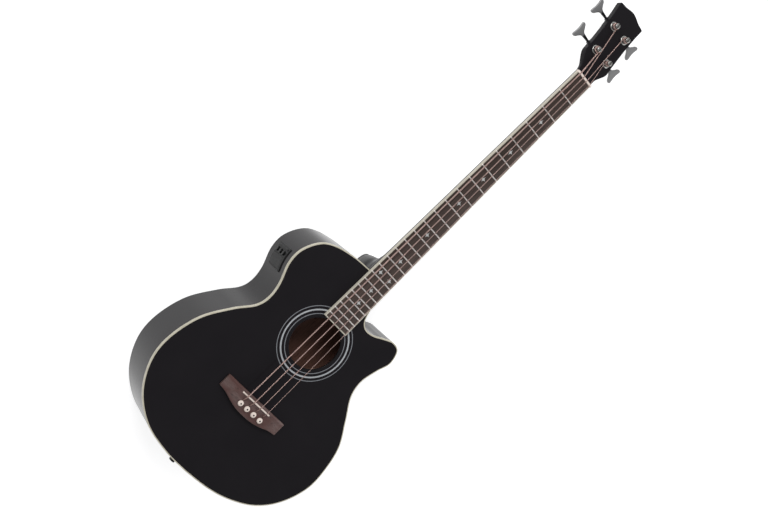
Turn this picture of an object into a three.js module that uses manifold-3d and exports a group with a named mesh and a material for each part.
// An acoustic bass guitar lying on its back: a hollow body with a rounded cutaway, a neck with a bound
// 24-fret fingerboard, a pinned bridge, four open-gear tuners and a panel of controls in the bass side.
// Units are millimetres. +X is the treble side, +Y runs from the tail to the headstock, +Z leaves the top.
//
// Most pieces are drawn in the deck frame: y = 0 at the tail, z = 0 on the outer face of the soundboard.
// The body gets deeper towards the tail, so the deck is tilted until the flat back lies on z = 0.
import * as THREE from "three";
import { mergeVertices } from "three/addons/utils/BufferGeometryUtils.js";
import Module from "manifold-3d";

const wasm = await Module();
wasm.setup();

// Clearance between pieces that touch, and how far a cutting tool overruns
const gap = 0.3;
const overrun = 2;

// Body
const bodyLength = 501.5;
const halfBout = 214;
const tailDepth = 124;
const neckEndDepth = 107;
const topThickness = 3.2;
const backThickness = 3.4;
const rimThickness = 2.6;
const bindingWidth = 2.2;
const bindingHeight = 6;
const liningWidth = 6;
const liningHeight = 12;
const jointHalfWidth = 29.5;
const neckBlockMargin = 3;
const neckBlockShare = 0.11;
const tailBlockHalfWidth = 35;
const tailBlockLength = 18;

// Neck and fingerboard
const neckLength = 541.5;
const saddleShare = 0.35693;
const boardOverHole = 1;
const boardThickness = 7.2;
const boardCrownRadius = 400;
const nutHalfWidth = 21.25;
const boardEndHalfWidth = 30.8;
const boardBinding = 2.2;
const fretCount = 24;
const fretMargin = 6;
const fretHeight = 1.1;
const fretFootHalf = 1.2;
const fretCrownHalf = 0.6;
const shaftDepthAtNut = 15;
const shaftDepthAtHeel = 18;
const shaftEdge = 2;
const heelHalfWidth = 26;
const heelReach = 80;
const heelCapThickness = 4;
const nutThickness = 4.7;
const nutAboveBoard = 3;
const slotAboveBoard = 1.3;

// Soundhole and rosette
const holeRadius = 51;
const holeShare = 0.664;
const rosetteDepth = 0.8;

// Bridge, saddle and pins; the bridge reaches a little further on the bass side
const bridgeHalfLength = 77;
const bridgeBassShift = 3;
const bridgeThickness = 9.5;
const bridgeWingThickness = 4.8;
const bridgeFlatHalf = 44;
const bridgeFront = 6.5;
const bridgeBelly = 33;
const saddleHalfLength = 36.5;
const saddleBassShift = 2.5;
const saddleThickness = 3;
const saddleAboveBridge = 4.4;
const saddleSlotDepth = 5;
const pinFromSaddle = 18.2;
const pinSpacing = 17.8;
const pinHeadRadius = 5.7;
const pinHeadHeight = 4.6;
const pinShankRadius = 3.4;
const pinTipRadius = 2.6;
const pinLength = 19;
const rampDepth = 8;
const rampLip = 3.5;
const rampReach = 12.5;
const bridgePlateHalfLength = 56;
const bridgePlateHalfWidth = 17;
const bridgePlateThickness = 3;

// Braces under the top and on the back
const braceWidth = 8;
const braceHeight = 14;
const braceEndHeight = 4;
const crossAngle = (48 * Math.PI) / 180;
const crossLowerShare = 0.865;
const crossUpperShare = 0.65;
const upperBraceShare = 0.848;
const backBraceWidth = 9;
const backBraceHeight = 12;
const backBraceShares = [0.15, 0.35, 0.55, 0.77];

// Headstock
const headTilt = (14 * Math.PI) / 180;
const headLength = 173;
const headHalfWidth = 37.5;
const headThickness = 15;
const veneerThickness = 1.5;
const headDrop = 4.5;

// Tuners: post with its worm wheel, bushing, plate with two lugs, and the key with its worm
const postHalfSpread = 18.5;
const postShares = [0.323, 0.688];
const postRadius = 5.2;
const postWaistRadius = 4.4;
const postWaistTop = 9.9;
const postHeight = 13.5;
const postSlotHalf = 1.1;
const postSlotDepth = 3.5;
const flangeRadius = 9;
const flangeHeight = 2;
const sleeveRadius = 6.6;
const sleeveDepth = 9;
const wheelTeeth = 16;
const wheelPitchRadius = 8;
const wheelThickness = 5;
const wheelScrewRadius = 3.4;
const wheelScrewHeight = 1.4;
const wormPitchRadius = 3.3;
const wormHalfLength = 5;
const addendum = 0.85;
const dedendum = 1.2;
const backlash = 0.6;
const pressureSlope = Math.tan((20 * Math.PI) / 180);
const plateThickness = 2;
const plateHalfWidth = 11;
const plateMargin = 3;
const wheelBelowPlate = 2.5;
const lugThickness = 3;
const lugHalfWidth = 4.4;
const lugSpread = 10.2;
const keyRadius = 2.4;
const keyCollarRadius = 3.3;
const keyCollarLength = 4;
const keyPastHead = 8;
const buttonLength = 21;
const buttonHalfWidth = 17;
const buttonThickness = 4.6;
const buttonBevel = 0.9;
const buttonTurn = (10 * Math.PI) / 180;

// Strings from bass to treble, each wound on the lower (0) or upper (1) post of its side
const strings = [
  { name: "e", radius: 1.33, post: 0, side: -1 },
  { name: "a", radius: 1.08, post: 1, side: -1 },
  { name: "d", radius: 0.83, post: 1, side: 1 },
  { name: "g", radius: 0.57, post: 0, side: 1 },
];
const nutStringSpacing = 10.4;
const windingTurns = 1.25;
const windingGap = 0.5;

// Control panel in the bass rim, with its knobs and battery door
const panelYShare = 0.797;
const panelLength = 48;
const panelHeight = 62;
const panelInset = 24;
const panelProud = 1.8;
const barWidth = 4;
const barHeight = 50;
const barProud = 1.2;
const barMargin = 3;
const knobCount = 3;
const knobRadius = 4.4;
const knobHeight = 4.5;
const knobSpacing = 17;
const pocketDepth = 1.5;
const doorWidth = 24;
const doorHeight = 52;
const doorThickness = 2;
const doorMargin = 3;
const doorLedge = 2;
const compartmentDepth = 16;

// Strap button at the tail
const strapLength = 13.5;
const strapFlangeRadius = 6.4;
const strapWaistRadius = 3.8;
const strapFootRadius = 5.2;
const strapDepthShare = 0.6;

// Numbers of facets
const bassSamples = 36;
const trebleSamples = 48;
const holeSides = 36;
const rosetteSides = 32;
const pinSides = 12;
const postSides = 14;
const boreSides = 14;
const keySides = 8;
const shaftSides = 10;
const stringSides = 6;
const windingSteps = 24;
const wormSteps = 8;

// Places worked out from the sizes
const depthSlope = (tailDepth - neckEndDepth) / bodyLength;
const deckTilt = Math.atan(depthSlope);
const nutY = bodyLength + neckLength;
const saddleY = saddleShare * bodyLength;
const saddleX = -saddleBassShift;
const scaleLength = nutY - saddleY;
const holeY = holeShare * bodyLength;
const boardLength = nutY - holeY - holeRadius + boardOverHole;
const pinY = saddleY - pinFromSaddle;
const boardTop = gap + boardThickness;
const bridgeTop = gap + bridgeThickness;
const saddleTop = bridgeTop + saddleAboveBridge;
const rimTop = -bindingHeight - gap;
const underTop = -topThickness - gap;
const liningInner = rimThickness + gap + liningWidth;
const backOuter = (y) => depthSlope * y - tailDepth;
const backInner = (y) => backOuter(y) + backThickness + gap;
const far = 3 * (bodyLength + tailDepth);
const crown = (x) => (x * x) / (2 * boardCrownRadius);
const boardHalfWidth = (fromNut) =>
  nutHalfWidth + ((boardEndHalfWidth - nutHalfWidth) * fromNut) / boardLength;
const plan = (x, y) => new THREE.Vector2(x, y);
const spread = (pitch) => strings.map((_, i) => (i - (strings.length - 1) / 2) * pitch);
const pinXs = spread(pinSpacing);
const nutXs = spread(nutStringSpacing);

// Finishes
const finish = (color, roughness, metalness) =>
  new THREE.MeshStandardMaterial({ color, roughness, metalness });
const blackLacquer = finish(0x1d1b1d, 0.12, 0);
const creamBinding = finish(0xcfc8b2, 0.35, 0);
const ringInlay = finish(0xa7a7a4, 0.4, 0);
const innerWood = finish(0xb98a55, 0.7, 0);
const rosewood = finish(0x5c4038, 0.5, 0);
const bone = finish(0xe9dfd0, 0.4, 0);
const nickel = finish(0xa9a9a6, 0.3, 1);
const darkMetal = finish(0x2a2a2c, 0.35, 1);
const satinGrey = finish(0x7c7c7c, 0.45, 0.8);
const bronze = finish(0xa58a7c, 0.35, 1);
const blackPlastic = finish(0x1b1b1c, 0.45, 0);

const root = new THREE.Group();
const deck = new THREE.Group();
deck.rotation.x = -deckTilt;
deck.position.z = tailDepth * Math.cos(deckTilt);
root.add(deck);
const head = new THREE.Group();
head.position.set(0, nutY + nutThickness + 2 * gap, boardTop - headDrop);
head.rotation.x = -headTilt;
deck.add(head);
head.updateMatrix();

function place(name, geometry, material, parent) {
  const mesh = new THREE.Mesh(geometry, material);
  mesh.name = name;
  parent.add(mesh);
  return mesh;
}

// A closed geometry as a solid for cuts and joins, turned right side out if its faces point inwards
function solid(geometry) {
  const bare = new THREE.BufferGeometry().setAttribute("position", geometry.getAttribute("position"));
  if (geometry.index) bare.setIndex(geometry.index);
  const merged = mergeVertices(bare, 1e-4);
  const vertProperties = merged.getAttribute("position").array;
  const build = (triVerts) => new wasm.Manifold(new wasm.Mesh({ numProp: 3, vertProperties, triVerts }));
  const faces = new Uint32Array(merged.index.array);
  const made = build(faces);
  return made.volume() < 0 ? build(faces.reverse()) : made;
}

function fromSolid(body) {
  const mesh = body.getMesh();
  const count = mesh.vertProperties.length / mesh.numProp;
  const positions = new Float32Array(3 * count);
  for (let i = 0; i < count; i++) {
    positions.set(mesh.vertProperties.subarray(i * mesh.numProp, i * mesh.numProp + 3), 3 * i);
  }
  const geometry = new THREE.BufferGeometry();
  geometry.setAttribute("position", new THREE.BufferAttribute(positions, 3));
  return geometry.setIndex(new THREE.BufferAttribute(mesh.triVerts, 1));
}

const cut = (geometry, ...tools) =>
  fromSolid(tools.reduce((body, tool) => body.subtract(solid(tool)), solid(geometry)));
const join = (geometry, ...others) =>
  fromSolid(others.reduce((body, other) => body.add(solid(other)), solid(geometry)));
const common = (geometry, ...others) =>
  fromSolid(others.reduce((body, other) => body.intersect(solid(other)), solid(geometry)));

// A prism between two levels; a level is a height or a function of y, so its ends may slope
function prism(outer, holes, low, high) {
  const level = (value, y) => (typeof value === "number" ? value : value(y));
  const turned = (points, clockwise) =>
    THREE.ShapeUtils.isClockWise(points) === clockwise ? points : [...points].reverse();
  const contour = turned(outer, false);
  const inner = holes.map((hole) => turned(hole, true));
  const flat = [contour, ...inner].flat();
  const positions = [];
  for (const p of flat) positions.push(p.x, p.y, level(low, p.y));
  for (const p of flat) positions.push(p.x, p.y, level(high, p.y));
  const count = flat.length;
  const index = [];
  for (const [a, b, c] of THREE.ShapeUtils.triangulateShape(contour, inner)) {
    index.push(c, b, a, a + count, b + count, c + count);
  }
  let start = 0;
  for (const loop of [contour, ...inner]) {
    for (let i = 0; i < loop.length; i++) {
      const a = start + i;
      const b = start + ((i + 1) % loop.length);
      index.push(a, b, b + count, a, b + count, a + count);
    }
    start += loop.length;
  }
  const geometry = new THREE.BufferGeometry();
  geometry.setAttribute("position", new THREE.Float32BufferAttribute(positions, 3));
  return geometry.setIndex(index);
}

// A profile of (x, z) pairs drawn out along y, and one of (y, z) pairs drawn out along x
const alongY = (profile, y0, y1) =>
  prism(profile.map(([x, z]) => plan(x, z)), [], -y1, -y0).rotateX(Math.PI / 2);
const alongX = (profile, x0, x1) => {
  const body = prism(profile.map(([y, z]) => plan(y, z)), [], x0, x1);
  return body.rotateY(Math.PI / 2).rotateX(Math.PI / 2);
};

// A skin through rings of equal point count, closed by a fan at both ends
function loft(rings) {
  const count = rings[0].length;
  const positions = rings.flat().flatMap((p) => [p.x, p.y, p.z]);
  const index = [];
  for (let k = 0; k + 1 < rings.length; k++) {
    for (let i = 0; i < count; i++) {
      const a = k * count + i;
      const b = k * count + ((i + 1) % count);
      index.push(a, b, b + count, a, b + count, a + count);
    }
  }
  const last = (rings.length - 1) * count;
  for (let i = 1; i + 1 < count; i++) {
    index.push(0, i + 1, i, last, last + i, last + i + 1);
  }
  const geometry = new THREE.BufferGeometry();
  geometry.setAttribute("position", new THREE.Float32BufferAttribute(positions, 3));
  return fromSolid(solid(geometry.setIndex(index)));
}

// A body of revolution about +Z from (radius, height) pairs
function lathe(profile, segments) {
  const points = profile.map(([radius, height]) => plan(radius, height));
  return new THREE.LatheGeometry(points, segments).rotateX(Math.PI / 2);
}

function ringBody(inner, outer, low, high, segments) {
  const profile = [
    [inner, low],
    [outer, low],
    [outer, high],
    [inner, high],
    [inner, low],
  ];
  return lathe(profile, segments);
}

function rod(radius, low, high, segments) {
  const profile = [
    [0, low],
    [radius, low],
    [radius, high],
    [0, high],
  ];
  return lathe(profile, segments);
}

function block(x0, x1, y0, y1, z0, z1) {
  const geometry = new THREE.BoxGeometry(x1 - x0, y1 - y0, z1 - z0);
  return geometry.translate((x0 + x1) / 2, (y0 + y1) / 2, (z0 + z1) / 2);
}

function circle(x, y, radius, segments) {
  return Array.from({ length: segments }, (_, k) => {
    const angle = (2 * Math.PI * k) / segments;
    return plan(x + radius * Math.cos(angle), y + radius * Math.sin(angle));
  });
}

// A closed outline moved inwards, each corner kept as a mitre; a negative distance moves it outwards
function inset(points, distance) {
  const turn = THREE.ShapeUtils.isClockWise(points) ? 1 : -1;
  const count = points.length;
  const normal = (a, b) => {
    const along = b.clone().sub(a).normalize();
    return plan(along.y * turn, -along.x * turn);
  };
  return points.map((p, i) => {
    const before = normal(points[(i + count - 1) % count], p);
    const mitre = before.add(normal(p, points[(i + 1) % count]));
    return p.clone().addScaledVector(mitre, (2 * distance) / mitre.lengthSq());
  });
}

// Body outline from the tail to the neck joint, as shares of the half bout and of the body length
const bassShares = [
  [0, 0],
  [-0.26, 0.006],
  [-0.56, 0.036],
  [-0.81, 0.107],
  [-0.965, 0.207],
  [-1.005, 0.312],
  [-0.94, 0.44],
  [-0.785, 0.546],
  [-0.658, 0.612],
  [-0.622, 0.664],
  [-0.645, 0.725],
  [-0.72, 0.802],
  [-0.725, 0.868],
  [-0.645, 0.935],
  [-0.52, 0.97],
  [-0.32, 0.992],
];
const trebleShares = [
  [0, 0],
  [0.26, 0.006],
  [0.48, 0.025],
  [0.7, 0.066],
  [0.86, 0.129],
  [0.965, 0.215],
  [0.995, 0.305],
  [0.93, 0.44],
  [0.775, 0.54],
  [0.64, 0.618],
  [0.602, 0.684],
  [0.636, 0.754],
  [0.68, 0.812],
  [0.641, 0.866],
  [0.55, 0.877],
  [0.455, 0.862],
  [0.36, 0.842],
  [0.268, 0.836],
  [0.199, 0.853],
];
// Where the outline runs into the neck, its x is a share of the joint's half width instead
const bassJointShares = [[-1.0, 1.0]];
const trebleJointShares = [
  [1.16, 0.893],
  [1.04, 0.94],
  [1.0, 1.0],
];
function edge(shares, jointShares, samples) {
  const points = shares.map(([x, y]) => plan(x * halfBout, y * bodyLength));
  const end = jointShares.map(([x, y]) => plan(x * jointHalfWidth, y * bodyLength));
  return new THREE.SplineCurve([...points, ...end]).getSpacedPoints(samples);
}
const bassEdge = edge(bassShares, bassJointShares, bassSamples);
const trebleEdge = edge(trebleShares, trebleJointShares, trebleSamples);
const outline = [...bassEdge, ...trebleEdge.reverse()];
outline.pop();

// How far an inset outline is from the centre line at a height along the body
function reach(side, y, inward) {
  const points = inset(outline, inward);
  const hits = points.map((p, i) => {
    const q = points[(i + 1) % points.length];
    const crosses = (p.y - y) * (q.y - y) <= 0 && p.y !== q.y;
    const x = p.x + ((q.x - p.x) * (y - p.y)) / (q.y - p.y);
    return crosses && x * side > 0 ? x * side : Infinity;
  });
  return Math.min(...hits);
}

const halfSpace = (side) =>
  block(side < 0 ? -far : gap / 2, side < 0 ? -gap / 2 : far, -far, far, -far, far);
const bodyPrism = (outward) => prism(inset(outline, -outward), [], -far, far);

// Top, back and rosette, whose rings are sized as shares of the soundhole's radius
const ringShares = [
  { name: "rosette_inner", radius: 1.1569, width: 0.0294 },
  { name: "rosette_middle", radius: 1.3078, width: 0.0608 },
  { name: "rosette_outer", radius: 1.4549, width: 0.0294 },
];
const rosetteRings = ringShares.map(({ name, radius, width }) => (
  { name, inner: (radius - width / 2) * holeRadius, outer: (radius + width / 2) * holeRadius }));
function soundboard() {
  const grooves = rosetteRings.map(({ inner, outer }) =>
    ringBody(inner - gap, outer + gap, -rosetteDepth - gap, overrun, rosetteSides).translate(0, holeY, 0));
  const pinHoles = pinXs.map((x) => circle(x, pinY, pinShankRadius + gap, pinSides));
  const holes = [circle(0, holeY, holeRadius, holeSides), ...pinHoles];
  return cut(prism(inset(outline, bindingWidth + gap), holes, -topThickness, 0), ...grooves);
}
place("soundboard", soundboard(), blackLacquer, deck);
const backPanel = prism(outline, [], backOuter, (y) => backOuter(y) + backThickness);
place("back_panel", backPanel, blackLacquer, deck);
place("top_binding", prism(outline, [inset(outline, bindingWidth)], -bindingHeight, 0), creamBinding, deck);
for (const { name, inner, outer } of rosetteRings) {
  const body = ringBody(inner, outer, -rosetteDepth - gap / 2, 0, rosetteSides);
  place(name, body.translate(0, holeY, 0), ringInlay, deck);
}

// The control panel's own frame: x points out of the bass rim, y towards the tail, z as the deck's
const panelY = panelYShare * bodyLength;
const panelZ = (rimTop + backInner(panelY)) / 2;
const wallPoint = (y) => new THREE.Vector3(-reach(-1, y, 0), y, panelZ);
const panelHalf = panelLength / 2;
const wallAlong = wallPoint(panelY + panelHalf).sub(wallPoint(panelY - panelHalf));
const panel = new THREE.Group();
panel.position.copy(wallPoint(panelY));
panel.rotation.z = Math.atan2(wallAlong.x, -wallAlong.y);
deck.add(panel);
panel.updateMatrix();
const panelBlock = (x0, y0, y1, halfZ, grow) =>
  block(x0 - grow, far, y0 - grow, y1 + grow, -halfZ - grow, halfZ + grow).applyMatrix4(panel.matrix);
const rimCut = panelBlock(-panelInset - overrun, -panelHalf, panelHalf, panelHeight / 2, gap);

// Rims and linings in two halves, and the blocks that join them
const cavity = prism(inset(outline, rimThickness + gap), [], backInner, underTop);
const neckBlockStart = (1 - neckBlockShare) * bodyLength;
const neckBlockHalfWidth = jointHalfWidth + neckBlockMargin;
const blockBoxes = (grow) => [
  block(-tailBlockHalfWidth - grow, tailBlockHalfWidth + grow, -far, tailBlockLength + grow, -far, far),
  block(-neckBlockHalfWidth - grow, neckBlockHalfWidth + grow, neckBlockStart - grow, far, -far, far),
];
const [tailBox, neckBox] = blockBoxes(0);
place("tail_block", common(cavity, tailBox), innerWood, deck);
place("neck_block", common(cavity, neckBox), innerWood, deck);
const ringBetween = (outer, inner, low, high) =>
  prism(inset(outline, outer), [inset(outline, inner)], low, high);
const rimRing = ringBetween(0, rimThickness, backInner, rimTop);
const liningRings = {
  top: ringBetween(rimThickness + gap, liningInner, underTop - liningHeight, underTop),
  back: ringBetween(rimThickness + gap, liningInner, backInner, (y) => backInner(y) + liningHeight),
};
for (const [side, name] of [[-1, "bass"], [1, "treble"]]) {
  const rim = common(rimRing, halfSpace(side));
  place("rim_" + name, side < 0 ? cut(rim, rimCut) : rim, blackLacquer, deck);
  for (const [level, ring] of Object.entries(liningRings)) {
    const half = cut(common(ring, halfSpace(side)), ...blockBoxes(gap));
    place(["lining", level, name].join("_"), half, innerWood, deck);
  }
}

// Braces: bars with scooped ends, hung under the top or stood on the back
function brace(from, to, width, base, height, direction) {
  const length = from.distanceTo(to);
  const scoop = length / 6;
  const profile = [
    [0, base],
    [length, base],
    [length, base + direction * braceEndHeight],
    [length - scoop, base + direction * height],
    [scoop, base + direction * height],
    [0, base + direction * braceEndHeight],
  ];
  const body = alongY(profile, -width / 2, width / 2);
  return body.rotateZ(Math.atan2(to.y - from.y, to.x - from.x)).translate(from.x, from.y, 0);
}
const crossY = holeY - (holeRadius + braceWidth) / Math.sin(crossAngle);
function crossEnd(side, way, share) {
  const length = share * halfBout;
  return plan(side * length * Math.sin(crossAngle), crossY + way * length * Math.cos(crossAngle));
}
function crossArm(side) {
  const lower = crossEnd(-side, -1, crossLowerShare);
  const upper = crossEnd(side, 1, crossUpperShare);
  return brace(lower, upper, braceWidth, underTop, braceHeight, -1);
}
place("brace_cross", join(crossArm(1), crossArm(-1)), innerWood, deck);
function ladder(y, width, base, height, direction) {
  const end = (side) =>
    side * Math.min(...[-1, 0, 1].map((k) => reach(side, y + (k * width) / 2, liningInner + gap)));
  return brace(plan(end(-1), y), plan(end(1), y), width, base, height, direction);
}
const upperBrace = ladder(upperBraceShare * bodyLength, braceWidth, underTop, braceHeight, -1);
place("brace_upper", upperBrace, innerWood, deck);
backBraceShares.forEach((share, i) => {
  const y = share * bodyLength;
  const base = backInner(y + backBraceWidth / 2);
  place("back_brace_" + (i + 1), ladder(y, backBraceWidth, base, backBraceHeight, 1), innerWood, deck);
});

// Bridge: a belly outline with wings that thin out, slotted for the saddle and bored for the pins
const bellyShares = [
  [-1.0, 0.61],
  [-0.76, 0.68],
  [-0.5, 0.86],
  [-0.27, 0.97],
  [0, 1.0],
  [0.27, 0.97],
  [0.5, 0.86],
  [0.76, 0.68],
  [1.0, 0.61],
];
const scoopShares = [0, 0.25, 0.5, 0.75, 1];
const pinHoleRadius = pinShankRadius + gap;
const stringFoot = (radius) => pinY + pinHoleRadius + radius;
function bridge() {
  const bridgeX = (share) => share * bridgeHalfLength - bridgeBassShift;
  const rear = bellyShares.map(([x, y]) => plan(bridgeX(x), saddleY - y * bridgeBelly));
  const front = [1, -1].map((side) => plan(bridgeX(side), saddleY + bridgeFront));
  const wing = bridgeHalfLength - bridgeFlatHalf;
  const thinning = bridgeThickness - bridgeWingThickness;
  const scoop = (side) =>
    scoopShares.map((share) => [
      side * (bridgeFlatHalf + wing * share) - bridgeBassShift,
      bridgeTop - (thinning * (1 - Math.cos(Math.PI * share))) / 2,
    ]);
  const feet = [-1, 1].map((side) => [side * bridgeHalfLength - bridgeBassShift, 0]);
  const profile = [...feet, ...scoop(1).reverse(), ...scoop(-1)];
  const body = common(prism([...rear, ...front], [], gap, bridgeTop), alongY(profile, -far, far));
  const slotX = saddleHalfLength + gap;
  const slotY = saddleThickness / 2 + gap;
  const slotFloor = bridgeTop - saddleSlotDepth;
  const slot = block(saddleX - slotX, saddleX + slotX, saddleY - slotY, saddleY + slotY, slotFloor, far);
  const holes = pinXs.map((x) => rod(pinHoleRadius, -overrun, far, pinSides).translate(x, pinY, 0));
  const ramps = strings.map((string, i) => {
    const mouth = stringFoot(string.radius) + string.radius + gap;
    const half = string.radius + gap;
    const ramp = [
      [pinY, bridgeTop - rampDepth],
      [mouth, bridgeTop - rampDepth],
      [mouth, bridgeTop - rampLip],
      [pinY + rampReach, bridgeTop],
      [pinY + rampReach, far],
      [pinY, far],
    ];
    return alongX(ramp, pinXs[i] - half, pinXs[i] + half);
  });
  return cut(body, slot, ...holes, ...ramps);
}
place("bridge", bridge(), rosewood, deck);

const saddleArc = scoopShares.map((share) => (2 * share - 1) * saddleHalfLength);
const saddleProfile = [
  [saddleHalfLength, bridgeTop - saddleSlotDepth + gap],
  [-saddleHalfLength, bridgeTop - saddleSlotDepth + gap],
  ...saddleArc.map((x) => [x, saddleTop - crown(x + saddleX)]),
];
const saddle = alongY(saddleProfile, saddleY - saddleThickness / 2, saddleY + saddleThickness / 2);
place("saddle", saddle.translate(saddleX, 0, 0), bone, deck);

const bridgePlate = cut(
  block(
    -bridgePlateHalfLength,
    bridgePlateHalfLength,
    pinY - bridgePlateHalfWidth,
    pinY + bridgePlateHalfWidth,
    underTop - bridgePlateThickness,
    underTop,
  ),
  ...pinXs.map((x) => rod(pinHoleRadius, -far, far, pinSides).translate(x, pinY, 0)),
);
place("bridge_plate", bridgePlate, innerWood, deck);

const pinProfile = [
  [0, bridgeTop - pinLength],
  [pinTipRadius, bridgeTop - pinLength],
  [pinShankRadius, bridgeTop + gap],
  [pinHeadRadius, bridgeTop + gap + pinHeadHeight * 0.15],
  [pinHeadRadius, bridgeTop + gap + pinHeadHeight * 0.4],
  [pinHeadRadius * 0.75, bridgeTop + gap + pinHeadHeight * 0.85],
  [0, bridgeTop + gap + pinHeadHeight],
];
strings.forEach((string, i) => {
  const pin = lathe(pinProfile, pinSides);
  place("bridge_pin_" + string.name, pin.translate(pinXs[i], pinY, 0), bone, deck);
});

// Neck: shaft, heel and headstock in one piece of wood
const shaftEnd = nutY + nutThickness + 2 * gap + overrun;
const jointY = bodyLength + gap;
function shaftRing(y) {
  const share = THREE.MathUtils.clamp((nutY - y) / neckLength, 0, 1);
  const half = boardHalfWidth(Math.max(nutY - y, 0));
  const depth = THREE.MathUtils.lerp(shaftDepthAtNut, shaftDepthAtHeel, share);
  const under = Array.from({ length: shaftSides + 1 }, (_, k) => {
    const angle = (Math.PI * k) / shaftSides;
    const belly = Math.pow(Math.sin(angle), 0.85);
    return new THREE.Vector3(-half * Math.cos(angle), y, -shaftEdge - (depth - shaftEdge) * belly);
  });
  return [new THREE.Vector3(-half, y, 0), ...under, new THREE.Vector3(half, y, 0)];
}
const shaftShares = [0.75, 0.5, 0.25, 0];
const shaftStations = shaftShares.map((share) => nutY - share * neckLength);
const shaft = loft([jointY, ...shaftStations, shaftEnd].map(shaftRing));
const heelStations = [
  { depthShare: 0.02, widthShare: 1.0, reachShare: 1.0 },
  { depthShare: 0.15, widthShare: 0.98, reachShare: 0.85 },
  { depthShare: 0.24, widthShare: 0.92, reachShare: 0.6 },
  { depthShare: 0.36, widthShare: 0.84, reachShare: 0.44 },
  { depthShare: 0.55, widthShare: 0.8, reachShare: 0.385 },
  { depthShare: 0.8, widthShare: 0.62, reachShare: 0.355 },
  { depthShare: 1.0, widthShare: 0.43, reachShare: 0.32 },
];
function heelOutline(widthShare, reachShare) {
  return Array.from({ length: shaftSides + 3 }, (_, k) => {
    const angle = (Math.PI * k) / (shaftSides + 2);
    const front = Math.pow(Math.sin(angle), 0.8);
    return plan(widthShare * heelHalfWidth * Math.cos(angle), jointY + reachShare * heelReach * front);
  });
}
const heelFloor = (y) => backOuter(y) + heelCapThickness + gap;
function heelRing({ depthShare, widthShare, reachShare }) {
  const points = heelOutline(widthShare, reachShare);
  return points.map((p) => new THREE.Vector3(p.x, p.y, depthShare * heelFloor(p.y)));
}
const heel = loft(heelStations.map(heelRing));
const heelFoot = heelStations[heelStations.length - 1];
const heelCap = prism(
  heelOutline(heelFoot.widthShare, heelFoot.reachShare),
  [],
  backOuter,
  (y) => backOuter(y) + heelCapThickness,
);
place("heel_cap", heelCap, blackLacquer, deck);

// Headstock outline from the nut to the tip, as shares of its half width and length
const headShares = [
  [0.56, 0.0],
  [0.59, 0.07],
  [0.72, 0.13],
  [0.88, 0.195],
  [0.945, 0.245],
  [0.925, 0.33],
  [0.915, 0.6],
  [0.95, 0.8],
  [1.0, 0.925],
  [0.97, 0.955],
  [0.6, 0.967],
  [0.25, 0.99],
  [0, 1.0],
];
const headEdge = (side, shares) =>
  shares.map(([x, y]) => plan(side * x * headHalfWidth, 2 * gap + y * headLength));
const headOutline = [...headEdge(1, headShares), ...headEdge(-1, headShares.slice(0, -1)).reverse()];
const posts = [-1, 1].flatMap((side) =>
  postShares.map((share, post) => ({ side, post, x: side * postHalfSpread, y: share * headLength })));
const postHoles = () =>
  posts.map(({ x, y }) => rod(sleeveRadius + gap, -far, far, boreSides).translate(x, y, 0));
const headBlank = prism(headOutline, [], -headThickness, -veneerThickness - gap);
const headWood = cut(headBlank, ...postHoles());
place("neck", join(shaft, heel, headWood.applyMatrix4(head.matrix)), blackLacquer, deck);
const veneer = cut(prism(headOutline, [], -veneerThickness, 0), ...postHoles());
place("head_veneer", veneer, blackLacquer, head);

// Fingerboard with its frets, crowned across its width
const crownShares = [1, 0.4, -0.4, -1];
function boardRing(fromNut, raise) {
  const half = boardHalfWidth(fromNut) - boardBinding - gap;
  const y = nutY - fromNut;
  const top = crownShares.map((share) => {
    const x = share * half;
    return new THREE.Vector3(x, y, boardTop - crown(x) + raise);
  });
  return [new THREE.Vector3(-half, y, gap), new THREE.Vector3(half, y, gap), ...top];
}
const fretRule = (k) => scaleLength * (1 - Math.pow(2, -(k + 1) / 12));
const frets = Array.from({ length: fretCount }, (_, k) => fretRule(k)).filter(
  (fret) => fret < boardLength - fretMargin,
);
const boardRings = [
  boardRing(0, 0),
  ...frets.flatMap((fret) => [
    boardRing(fret - fretFootHalf, 0),
    boardRing(fret - fretCrownHalf, fretHeight),
    boardRing(fret + fretCrownHalf, fretHeight),
    boardRing(fret + fretFootHalf, 0),
  ]),
  boardRing(boardLength - boardBinding - gap, 0),
];
place("fingerboard", loft(boardRings), rosewood, deck);
const boardEdge = [
  plan(-nutHalfWidth, nutY),
  plan(-boardEndHalfWidth, nutY - boardLength),
  plan(boardEndHalfWidth, nutY - boardLength),
  plan(nutHalfWidth, nutY),
];
const boardInside = [
  plan(nutHalfWidth - boardBinding, nutY),
  plan(boardEndHalfWidth - boardBinding, nutY - boardLength + boardBinding),
  plan(boardBinding - boardEndHalfWidth, nutY - boardLength + boardBinding),
  plan(boardBinding - nutHalfWidth, nutY),
];
const bindingTop = boardTop - crown(boardEndHalfWidth);
const boardStrip = prism([...boardEdge, ...boardInside], [], gap, bindingTop);
place("fingerboard_binding", boardStrip, creamBinding, deck);

const nutFront = nutY + gap;
const nutBack = nutFront + nutThickness;
const slotFloors = nutXs.map((x) => boardTop + slotAboveBoard - crown(x));
const nutBlank = block(-nutHalfWidth, nutHalfWidth, nutFront, nutBack, gap, boardTop + nutAboveBoard);
const nutSlots = strings.map(({ radius }, i) => {
  const half = radius + gap;
  return block(nutXs[i] - half, nutXs[i] + half, nutY - overrun, nutBack + overrun, slotFloors[i], far);
});
place("nut", cut(nutBlank, ...nutSlots), bone, deck);

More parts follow.
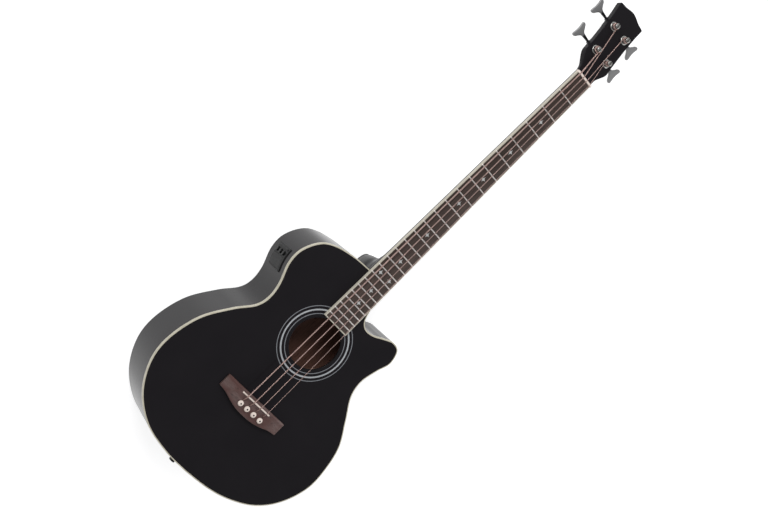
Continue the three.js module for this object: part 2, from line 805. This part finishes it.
// Tuners, drawn about each post in the head's frame
const wheelPitch = (2 * Math.PI * wheelPitchRadius) / wheelTeeth;
const toothHalf = wheelPitch / 4 - backlash / 4;
const plateTop = -headThickness - gap;
const plateBottom = plateTop - plateThickness;
const wheelTop = plateBottom - wheelBelowPlate;
const wheelMiddle = wheelTop - wheelThickness / 2;
const wormOffset = wheelPitchRadius + wormPitchRadius + gap / 2;
const toothHalfAt = (above) => toothHalf - above * pressureSlope;

// The worm wheel's teeth lean with the worm's lead
function wormWheel() {
  const tip = wheelPitchRadius + addendum;
  const foot = wheelPitchRadius - dedendum;
  const points = Array.from({ length: wheelTeeth }, (_, k) => {
    const centre = Math.PI / 2 + (2 * Math.PI * k) / wheelTeeth;
    const at = (radius, half) => {
      const angle = centre + half / wheelPitchRadius;
      return plan(radius * Math.cos(angle), radius * Math.sin(angle));
    };
    const wide = toothHalfAt(-dedendum);
    const narrow = toothHalfAt(addendum);
    return [at(foot, -wide), at(tip, -narrow), at(tip, narrow), at(foot, wide)];
  }).flat();
  const body = prism(points, [], -wheelThickness / 2, wheelThickness / 2);
  const lean = wheelPitch / (2 * Math.PI * wormPitchRadius * wheelPitchRadius);
  const at = body.getAttribute("position");
  for (let i = 0; i < at.count; i++) {
    const turn = lean * at.getZ(i);
    const point = plan(at.getX(i), at.getY(i)).rotateAround(plan(0, 0), turn);
    at.setXY(i, point.x, point.y);
  }
  return body.translate(0, 0, wheelMiddle);
}

const flangeTop = gap + flangeHeight;
function tunerPost() {
  const profile = [
    [0, wheelTop - wheelThickness - wheelScrewHeight],
    [wheelScrewRadius, wheelTop - wheelThickness - wheelScrewHeight],
    [wheelScrewRadius, wheelMiddle],
    [sleeveRadius, wheelMiddle],
    [sleeveRadius, plateBottom - gap],
    [postRadius, plateBottom - gap],
    [postRadius, flangeTop],
    [postWaistRadius, flangeTop + gap],
    [postWaistRadius, postWaistTop],
    [postRadius, postWaistTop + postRadius - postWaistRadius],
    [postRadius, postHeight - postSlotHalf],
    [postRadius - postSlotHalf, postHeight],
    [0, postHeight],
  ];
  const slot = block(-postSlotHalf, postSlotHalf, -far, far, postHeight - postSlotDepth, far);
  return cut(join(lathe(profile, postSides), wormWheel()), slot);
}

function ferrule() {
  const bore = postRadius + gap;
  const profile = [
    [bore, -sleeveDepth],
    [sleeveRadius, -sleeveDepth],
    [sleeveRadius, gap],
    [flangeRadius, gap],
    [flangeRadius, gap + flangeHeight / 2],
    [flangeRadius - flangeHeight / 2, flangeTop],
    [bore, flangeTop],
    [bore, -sleeveDepth],
  ];
  return lathe(profile, boreSides);
}

const alongKey = (body) => body.rotateY(Math.PI / 2);
function tunerPlate() {
  const end = wormOffset + lugHalfWidth + plateMargin;
  const half = plateHalfWidth + plateMargin;
  const body = block(-half, half, -plateHalfWidth, end, plateBottom, plateTop);
  const lugs = [-1, 1].map((side) => {
    const x = side * lugSpread - lugThickness / 2;
    const root = plateBottom + plateThickness / 2 - wheelMiddle;
    const foot = block(x, x + lugThickness, -lugHalfWidth, lugHalfWidth, 0, root);
    const round = alongKey(rod(lugHalfWidth, x, x + lugThickness, boreSides));
    return join(foot, round).translate(0, wormOffset, wheelMiddle);
  });
  const bore = alongKey(rod(keyRadius + gap, -far, far, keySides)).translate(0, wormOffset, wheelMiddle);
  return cut(join(body, ...lugs), bore, rod(postRadius + gap, -far, far, boreSides));
}

// One thread of the worm: a leaning trapezium carried round the key, sunk a little in its core
function wormThread() {
  const sunk = dedendum + gap;
  const tip = wormPitchRadius + addendum;
  const steps = Math.round((2 * wormHalfLength * wormSteps) / wheelPitch);
  const rings = Array.from({ length: steps + 1 }, (_, k) => {
    const angle = (2 * Math.PI * (k - steps / 2)) / wormSteps;
    const x = (wheelPitch * angle) / (2 * Math.PI);
    const at = (radius, shift) =>
      new THREE.Vector3(x + shift, radius * Math.cos(angle), radius * Math.sin(angle));
    const wide = toothHalfAt(-sunk);
    const narrow = toothHalfAt(addendum);
    const foot = wormPitchRadius - sunk;
    return [at(foot, -wide), at(tip, -narrow), at(tip, narrow), at(foot, wide)];
  });
  return loft(rings);
}

// Key button outline, as shares of its length and half width
const buttonShares = [
  [0, 0.2],
  [0.15, 0.23],
  [0.3, 0.36],
  [0.45, 0.6],
  [0.6, 0.86],
  [0.74, 0.98],
  [0.88, 1.0],
  [0.99, 0.9],
  [1.0, 0.74],
  [0.97, 0.5],
  [0.94, 0.25],
  [0.93, 0],
];
// The button leans with its tipward lobe higher, whichever side of the head it's on
function keyButton(side) {
  const half = (sign) => buttonShares.map(([x, y]) => plan(x * buttonLength, sign * y * buttonHalfWidth));
  const points = [...half(-1), ...half(1).slice(0, -1).reverse()];
  const body = new THREE.ExtrudeGeometry(new THREE.Shape(points), {
    depth: buttonThickness - 2 * buttonBevel,
    bevelSize: buttonBevel,
    bevelOffset: -buttonBevel,
    bevelThickness: buttonBevel,
    bevelSegments: 1,
    curveSegments: 1,
  });
  return body.translate(0, 0, buttonBevel - buttonThickness / 2).rotateX(side * buttonTurn);
}

function tunerKey(side) {
  const core = wormPitchRadius - dedendum;
  const shoulder = lugSpread - lugThickness / 2 - gap;
  const tail = lugSpread + lugThickness / 2;
  const neck = headHalfWidth + keyPastHead - postHalfSpread;
  const profile = [
    [0, -tail],
    [keyRadius, -tail],
    [keyRadius, -shoulder],
    [core, -wormHalfLength - gap],
    [core, wormHalfLength + gap],
    [keyRadius, shoulder],
    [keyRadius, neck - keyCollarLength],
    [keyCollarRadius, neck - keyCollarLength],
    [keyCollarRadius, neck],
    [keyRadius, neck],
    [keyRadius, neck + keyCollarLength],
    [0, neck + keyCollarLength],
  ];
  const spindle = alongKey(lathe(profile, keySides));
  const key = join(spindle, keyButton(side).translate(neck, 0, 0));
  const turned = side < 0 ? key.rotateZ(Math.PI) : key;
  return join(turned, wormThread());
}

for (const { side, post, x, y } of posts) {
  const { name } = strings.find((string) => string.side === side && string.post === post);
  place("tuner_plate_" + name, tunerPlate(), nickel, head).position.set(x, y, 0);
  place("tuner_ferrule_" + name, ferrule(), nickel, head).position.set(x, y, 0);
  place("tuner_post_" + name, tunerPost(), nickel, head).position.set(x, y, 0);
  place("tuner_key_" + name, tunerKey(side), satinGrey, head).position.set(x, y + wormOffset, wheelMiddle);
}

// Strings: from the foot of the pin over saddle and nut, then wound up the post, each one unbroken bar
function bar(points, radius) {
  const side = new THREE.Vector3(1, 0, 0);
  const rings = points.map((p, i) => {
    const ahead = points[Math.min(i + 1, points.length - 1)].clone().sub(p).normalize();
    const behind = p.clone().sub(points[Math.max(i - 1, 0)]).normalize();
    const along = ahead.add(behind).normalize();
    side.addScaledVector(along, -side.dot(along)).normalize();
    const up = along.clone().cross(side);
    return Array.from({ length: stringSides }, (_, k) => {
      const angle = (2 * Math.PI * k) / stringSides;
      const offset = side.clone().multiplyScalar(radius * Math.cos(angle));
      return p.clone().add(offset).addScaledVector(up, radius * Math.sin(angle));
    });
  });
  return loft(rings);
}

function winding(from, { x, y, side }, radius) {
  const coil = postWaistRadius + gap + radius;
  const centre = plan(x, y);
  const toNut = plan(from.x, from.y).sub(centre);
  const start = toNut.angle() - side * Math.acos(coil / toNut.length());
  const pitch = 2 * radius + windingGap;
  const low = flangeTop + windingGap + radius;
  const steps = windingTurns * windingSteps;
  const points = Array.from({ length: steps + 1 }, (_, k) => {
    const turns = k / windingSteps;
    const angle = start - side * 2 * Math.PI * turns;
    return new THREE.Vector3(x + coil * Math.cos(angle), y + coil * Math.sin(angle), low + pitch * turns);
  });
  const end = points[steps];
  const tail = end.clone().sub(points[steps - 1]).normalize().multiplyScalar(2 * radius);
  return [...points, end.clone().add(tail)];
}

// The least distance between turns of one winding, from surface to surface
function leastGap(points, radius) {
  let least = Infinity;
  for (let i = 0; i < points.length; i++) {
    for (let j = i + windingSteps / 2; j < points.length; j++) {
      least = Math.min(least, points[i].distanceTo(points[j]) - 2 * radius);
    }
  }
  return least;
}

const toHead = head.matrix.clone().invert();
strings.forEach((string, i) => {
  const { name, radius } = string;
  const foot = stringFoot(radius);
  const overSaddle = saddleTop - crown(pinXs[i]) + gap + radius;
  const onSaddle = [-1, 1].map((end) =>
    new THREE.Vector3(pinXs[i], saddleY + (end * (saddleThickness + radius)) / 2, overSaddle));
  const low = new THREE.Vector3(pinXs[i], foot, bridgeTop - rampDepth + gap);
  const bend = new THREE.Vector3(pinXs[i], foot, bridgeTop - rampLip + radius);
  const rise = bend.clone().add(new THREE.Vector3(0, radius / 2, radius));
  const overSlot = slotFloors[i] + gap + radius;
  const overNut = [nutFront, nutBack].map((y) => new THREE.Vector3(nutXs[i], y, overSlot));
  const post = posts.find((p) => p.side === string.side && p.post === string.post);
  const coil = winding(overNut[1].clone().applyMatrix4(toHead), post, radius);
  console.log("string " + name + ": least gap between turns " + leastGap(coil, radius).toFixed(2) + " mm");
  const wound = coil.map((p) => p.clone().applyMatrix4(head.matrix));
  place("string_" + name, bar([low, bend, rise, ...onSaddle, ...overNut, ...wound], radius), bronze, deck);
});

// Control panel: a block seated in the rim, its face following the rim's curve
const toPanel = panel.matrix.clone().invert();
const wallInPanel = outline.map((p) => new THREE.Vector3(p.x, p.y, panelZ).applyMatrix4(toPanel));
function wallAt(y) {
  const hits = wallInPanel.map((p, i) => {
    const q = wallInPanel[(i + 1) % wallInPanel.length];
    const crosses = (p.y - y) * (q.y - y) <= 0 && p.y !== q.y;
    return crosses ? p.x + ((q.x - p.x) * (y - p.y)) / (q.y - p.y) : -Infinity;
  });
  return Math.max(...hits);
}
const barStart = -panelHalf + barMargin;
const doorEnd = panelHalf - doorMargin;
const doorStart = doorEnd - doorWidth;
const knobY = (barStart + barWidth + doorStart) / 2;
const knobZs = Array.from({ length: knobCount }, (_, k) => (k - (knobCount - 1) / 2) * knobSpacing);
const pocketFloor = wallAt(knobY) + panelProud - pocketDepth;
const doorBlock = (grow) => panelBlock(-panelInset / 2, doorStart, doorEnd, doorHeight / 2, grow);
function controlPanel() {
  const stem = panelBlock(-panelInset, -panelHalf, panelHalf, panelHeight / 2, 0);
  const face = common(bodyPrism(panelProud), stem);
  const ridge = common(
    bodyPrism(panelProud + barProud),
    panelBlock(-doorThickness, barStart, barStart + barWidth, barHeight / 2, 0),
  );
  const deep = doorThickness + gap;
  const recess = cut(doorBlock(gap), bodyPrism(panelProud - deep));
  const store = panelBlock(
    -compartmentDepth,
    doorStart + doorLedge,
    doorEnd - doorLedge,
    doorHeight / 2 - doorLedge,
    0,
  );
  const pockets = knobZs.map((z) => {
    const pocket = alongKey(rod(knobRadius + 2 * gap, pocketFloor, far, postSides));
    return pocket.translate(0, knobY, z).applyMatrix4(panel.matrix);
  });
  return cut(join(face, ridge), recess, store, ...pockets);
}
place("control_panel", controlPanel(), blackPlastic, deck);
knobZs.forEach((z, i) => {
  const profile = [
    [0, 0],
    [knobRadius, 0],
    [knobRadius * 0.9, knobHeight * 0.85],
    [knobRadius * 0.78, knobHeight],
    [0, knobHeight],
  ];
  const mark = block(-knobHeight / 12, knobHeight / 12, 0, far, knobHeight * 0.85, far);
  const body = alongKey(cut(lathe(profile, postSides), mark));
  const knob = place("control_knob_" + (i + 1), body, blackPlastic, panel);
  knob.position.set(pocketFloor + gap, knobY, z);
});
const doorFace = common(bodyPrism(panelProud), doorBlock(0));
const doorBody = cut(doorFace, bodyPrism(panelProud - doorThickness)).applyMatrix4(toPanel);
const hinge = new THREE.Vector3(wallAt(doorEnd) + panelProud, doorEnd, 0);
doorBody.translate(-hinge.x, -hinge.y, 0);
place("battery_door", doorBody, blackPlastic, panel).position.copy(hinge);

// Strap button, screwed to the middle of the tail
const strapProfile = [
  [0, gap],
  [strapFootRadius, gap],
  [strapWaistRadius, strapLength * 0.2],
  [strapWaistRadius, strapLength * 0.66],
  [strapFlangeRadius, strapLength * 0.8],
  [strapFlangeRadius, strapLength * 0.93],
  [strapFlangeRadius * 0.85, strapLength],
  [0, strapLength],
];
const strap = place("strap_button", lathe(strapProfile, postSides).rotateX(Math.PI / 2), darkMetal, deck);
strap.position.z = -strapDepthShare * tailDepth;

// The origin is the middle of the underside
root.updateMatrixWorld(true);
const middle = new THREE.Box3().setFromObject(root, true).getCenter(new THREE.Vector3());
root.position.set(-middle.x, -middle.y, 0);

export default root;
